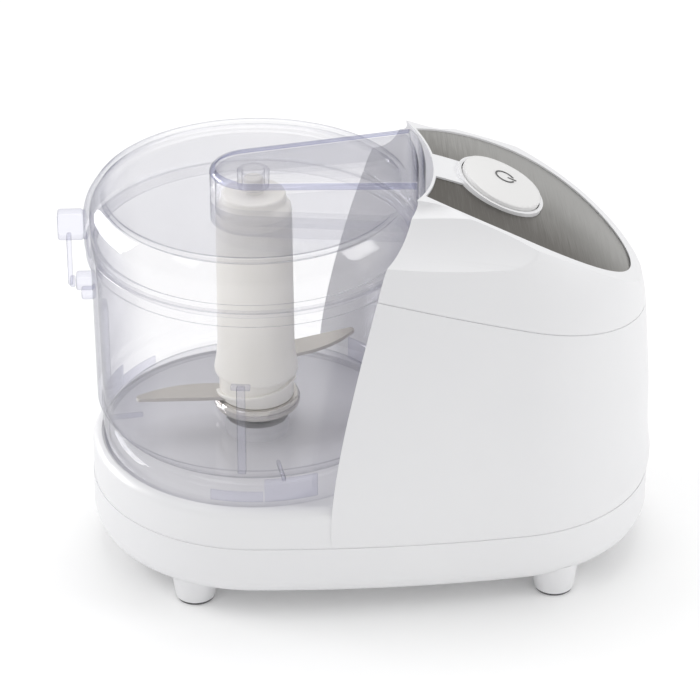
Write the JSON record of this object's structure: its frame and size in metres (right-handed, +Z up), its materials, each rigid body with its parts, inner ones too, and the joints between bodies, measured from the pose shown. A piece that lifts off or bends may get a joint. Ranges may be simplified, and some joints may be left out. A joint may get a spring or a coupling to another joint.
{
  "type": "food chopper",
  "caption": "Small electric food chopper: clear bowl and lid on a low platform, blade column inside, and a white motor tower with a push button on its sloping steel-trimmed top.",
  "frame": {"origin": "middle of the chopper's footprint, on the surface that its foot pads stand on", "axes": "+X from the bowl towards the motor tower, +Z up, -Y the front"},
  "size_m": [0.2035, 0.1162, 0.147],
  "materials": {
    "white_shell": "gloss white moulding",
    "white_button": "gloss white moulding",
    "steel_trim": "brushed across, satin",
    "clear_plastic": "clear, polished",
    "white_column": "milky white moulding",
    "blade_steel": "ground and polished",
    "dark_rubber": "matte",
    "inner_plastic": "matte moulding",
    "machine_steel": "zinc plated",
    "bearing_bronze": "sintered, oiled",
    "board_laminate": "bare laminate"
  },
  "bodies": {
    "base": {"base_pan": "white_shell", "feet": "white_shell", "foot_pads": "dark_rubber", "case_screws": "machine_steel", "cord_gland": "dark_rubber", "main_housing": "white_shell", "top_cover": "white_shell", "trim_plate": "steel_trim", "button_shelf": "inner_plastic", "button_spring": "machine_steel", "switch_body": "inner_plastic", "upper_bush": "bearing_bronze", "lower_bush": "bearing_bronze", "spindle_seal": "dark_rubber", "idler_pin": "machine_steel", "idler_clip": "machine_steel", "idler_washers": "machine_steel", "chassis_plate": "machine_steel", "chassis_screws": "machine_steel", "motor_bracket": "machine_steel", "motor_screws": "machine_steel", "motor_can": "machine_steel", "motor_front_bearing": "bearing_bronze", "motor_end_cap": "inner_plastic", "motor_rear_bearing": "bearing_bronze", "motor_magnets": "machine_steel", "motor_brushes": "bearing_bronze", "circuit_board": "board_laminate", "board_components": "inner_plastic", "interlock_switch": "inner_plastic"},
    "button": {"power_button": "white_button"},
    "drive": {"drive_spindle": "machine_steel", "drive_gear": "inner_plastic", "drive_coupling": "inner_plastic"},
    "idler": {"idler_gear": "inner_plastic"},
    "rotor": {"motor_shaft": "machine_steel", "armature": "machine_steel", "commutator": "bearing_bronze", "pinion": "inner_plastic"},
    "bowl": {"bowl": "clear_plastic"},
    "lid": {"lid": "clear_plastic"},
    "blade": {"blade_column": "white_column", "lower_blade": "blade_steel", "upper_blade": "blade_steel", "steel_collar": "blade_steel"},
    "interlock": {"interlock_pin": "inner_plastic"}
  },
  "joints": [
    {"name": "drive_spin", "type": "hinge", "parent": "base", "child": "drive", "pos_m": [-0.0354, 0, 0.05], "axis": [0, 0, 1], "continuous": true},
    {"name": "idler_spin", "type": "hinge", "parent": "base", "child": "idler", "pos_m": [0.0201, 0, 0.0235], "axis": [0, 0, 1], "continuous": true},
    {"name": "motor_spin", "type": "hinge", "parent": "base", "child": "rotor", "pos_m": [0.0456, 0, 0.06], "axis": [0, 0, 1], "continuous": true},
    {"name": "bowl_lift", "type": "slide", "parent": "base", "child": "bowl", "axis": [0, 0, 1], "range_m": [0, 0.08]},
    {"name": "lid_lift", "type": "slide", "parent": "bowl", "child": "lid", "axis": [0, 0, 1], "range_m": [0, 0.06]},
    {"name": "blade_spin", "type": "hinge", "parent": "bowl", "child": "blade", "pos_m": [-0.0354, 0, 0.08], "axis": [0, 0, 1], "continuous": true},
    {"name": "button_press", "type": "slide", "parent": "base", "child": "button", "axis": [-0.4126, 0, -0.9109], "range_m": [0, 0.0025], "stiffness_N_per_m": 600, "springref_m": -0.0015, "deforming": ["button_spring"]},
    {"name": "interlock_press", "type": "slide", "parent": "base", "child": "interlock", "axis": [1, 0, 0], "range_m": [0, 0.002], "stiffness_N_per_m": 200, "springref_m": -0.001}
  ],
  "couplings": [
    {"joint": "idler_spin", "follows": "drive_spin", "ratio": -1.8462},
    {"joint": "motor_spin", "follows": "drive_spin", "ratio": 6},
    {"joint": "blade_spin", "follows": "drive_spin", "ratio": 1}
  ]
}
